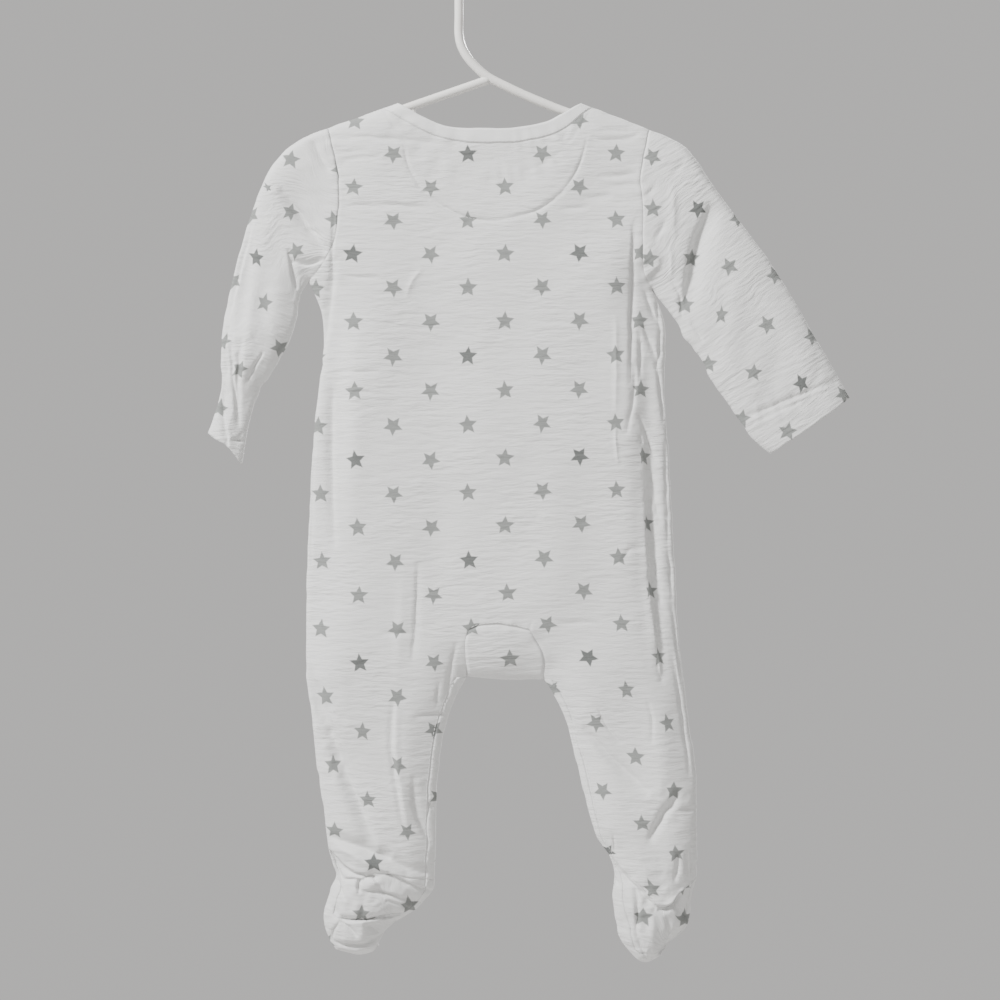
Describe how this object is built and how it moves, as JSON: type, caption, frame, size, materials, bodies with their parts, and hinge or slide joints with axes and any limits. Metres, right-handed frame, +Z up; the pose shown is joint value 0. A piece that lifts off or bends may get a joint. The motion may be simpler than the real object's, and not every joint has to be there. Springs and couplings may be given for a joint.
{
  "type": "footed baby sleepsuit on a child's hanger",
  "caption": "Long-sleeved footed baby sleepsuit of star-printed muslin with a popper front, hanging flat on a one-piece moulded tubular hanger.",
  "frame": {"origin": "inner top of the hanger's hook, where a rail or peg carries it", "axes": "+Z up the hanging garment, -Y out of the garment's back, +Y out of its front, +X to the right when seen from its back"},
  "size_m": [0.4492, 0.0336, 0.7051],
  "materials": {
    "printed_muslin": "crinkled double muslin with a grey star print",
    "plain_binding": "plain cotton binding",
    "hanger_plastic": "moulded tube, smooth",
    "popper_enamel": "enamelled cap"
  },
  "bodies": {
    "root": {"back_panel": "printed_muslin", "back_gusset": "printed_muslin", "front_left": "printed_muslin", "front_right": "printed_muslin", "leg_strip_left": "printed_muslin", "leg_strip_right": "printed_muslin", "sleeve_left": "printed_muslin", "sleeve_right": "printed_muslin", "foot_upper_left": "printed_muslin", "foot_upper_right": "printed_muslin", "sole_left": "printed_muslin", "sole_right": "printed_muslin", "neckband": "plain_binding", "front_band": "plain_binding", "hanger": "hanger_plastic", "popper_1": "popper_enamel", "popper_2": "popper_enamel", "popper_3": "popper_enamel", "popper_4": "popper_enamel", "popper_5": "popper_enamel", "popper_6": "popper_enamel", "popper_7": "popper_enamel"}
  },
  "joints": []
}
